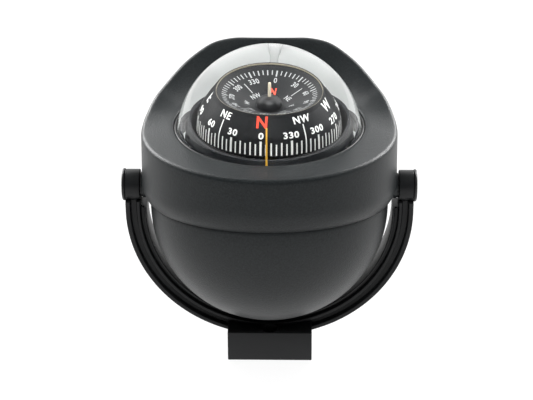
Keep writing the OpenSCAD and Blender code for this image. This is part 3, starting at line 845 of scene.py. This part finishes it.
FLOOR_HALF = 2.5
bm = bmesh.new()
bmesh.ops.create_grid(bm, x_segments=1, y_segments=1, size=FLOOR_HALF)
mesh = bpy.data.meshes.new("Floor")
bm.to_mesh(mesh)
bm.free()
floor = bpy.data.objects.new("Floor", mesh)
bpy.context.scene.collection.objects.link(floor)
floor.location = (0, 0, -0.0002)
floor_mat = bpy.data.materials.new("floor_white")
floor_mat.use_nodes = True
floor_bsdf = floor_mat.node_tree.nodes["Principled BSDF"]
floor_bsdf.inputs["Base Color"].default_value = (0.92, 0.92, 0.92, 1)
floor_bsdf.inputs["Roughness"].default_value = 0.9
floor_bsdf.inputs["Specular IOR Level"].default_value = 0.1
mesh.materials.append(floor_mat)

# Soft glows in the room round the object: direction, half width in degrees, brightness
ROOM_LEVEL = 0.12
GLOWS = (
    ((0, 0.95, 0.30), 48, 1.5),
    ((-0.85, 0.45, 0.2), 40, 0.5),
    ((0.85, 0.45, 0.2), 40, 0.4),
)


def make_room():
    world = bpy.data.worlds.new("World")
    bpy.context.scene.world = world
    world.use_nodes = True
    nt = world.node_tree
    background = nt.nodes["Background"]
    background.inputs[0].default_value = (1, 1, 1, 1)
    coord = nt.nodes.new("ShaderNodeTexCoord")
    level = nt.nodes.new("ShaderNodeValue")
    level.outputs[0].default_value = ROOM_LEVEL
    total = level.outputs[0]
    for direction, width, power in GLOWS:
        dot = nt.nodes.new("ShaderNodeVectorMath")
        dot.operation = "DOT_PRODUCT"
        dot.inputs[1].default_value = Vector(direction).normalized()
        nt.links.new(coord.outputs["Generated"], dot.inputs[0])
        spread = nt.nodes.new("ShaderNodeMapRange")
        spread.interpolation_type = "SMOOTHSTEP"
        spread.inputs["From Min"].default_value = math.cos(math.radians(width))
        spread.inputs["From Max"].default_value = 1.0
        spread.inputs["To Max"].default_value = power
        nt.links.new(dot.outputs["Value"], spread.inputs["Value"])
        add = nt.nodes.new("ShaderNodeMath")
        nt.links.new(total, add.inputs[0])
        nt.links.new(spread.outputs["Result"], add.inputs[1])
        total = add.outputs[0]
    nt.links.new(total, background.inputs[1])


def add_light(name, data, place=(0, 0, 0)):
    obj = bpy.data.objects.new(name, data)
    obj.location = place
    bpy.context.scene.collection.objects.link(obj)
    return obj


def area_light(name, place, target, size, power):
    data = bpy.data.lights.new(name, "AREA")
    data.shape = "SQUARE"
    data.size = size
    data.energy = power
    obj = add_light(name, data, place)
    obj.rotation_euler = (Vector(target) - Vector(place)).to_track_quat("-Z", "Y").to_euler()
    return obj


def lit_group(name, pieces, state):
    """The pieces a light is limited to (INCLUDE) or leaves out (EXCLUDE)."""
    group = bpy.data.collections.new(name)
    for piece in pieces:
        group.objects.link(piece)
    for entry in group.collection_objects:
        entry.light_linking.link_state = state
    return group


make_room()

# A large box above the front lights all but the floor, and makes no highlights
front = area_light("Front", (0, -0.35, 1.2), (0, 0, 0.05), 1.4, 27.0)
front.visible_glossy = False
front.light_linking.receiver_collection = lit_group("Not_lit_by_front", (floor,), "EXCLUDE")

# Two boxes behind the hood light the housing's slopes but not the dome
not_boxes = lit_group("Not_lit_by_boxes", (dome, floor), "EXCLUDE")
for side, name in ((-1, "Box_left"), (1, "Box_right")):
    box = area_light(name, (side * 0.75, 0.75, 0.62), (0, 0, 0.12), 0.6, 18.0)
    box.light_linking.receiver_collection = not_boxes

# The floor has an even light of its own, so the shadow on it stays faint
fill_data = bpy.data.lights.new("Floor_fill", "SUN")
fill_data.energy = 3.1
fill_data.use_shadow = False
fill = add_light("Floor_fill", fill_data)
fill.light_linking.receiver_collection = lit_group("Lit_by_floor_fill", (floor,), "INCLUDE")

# ---------------------------------------------------------------- camera

SENSOR_MM, IMAGE_W = 36.0, 533.0
ELEV = math.radians(27.4)
YAW = math.radians(-1.4)
ROLL = math.radians(-0.4)
FOCAL_PX = 1800.0
DISTANCE = 0.5 * FOCAL_PX * MM
AIM = Vector((-1.5, 0, PIVOT_H - 8.58)) * MM
forward = Vector((math.sin(YAW) * math.cos(ELEV), math.cos(YAW) * math.cos(ELEV), -math.sin(ELEV)))
cam_data = bpy.data.cameras.new("Camera")
cam_data.sensor_width = SENSOR_MM
cam_data.lens = SENSOR_MM * FOCAL_PX / IMAGE_W
cam_data.clip_end = 10
camera = bpy.data.objects.new("Camera", cam_data)
camera.location = AIM - forward * DISTANCE
rot = forward.to_track_quat("-Z", "Y").to_matrix().to_4x4() @ Matrix.Rotation(ROLL, 4, "Z")
camera.rotation_euler = rot.to_euler()
bpy.context.scene.collection.objects.link(camera)
bpy.context.scene.camera = camera
bpy.context.scene.view_settings.view_transform = "Standard"
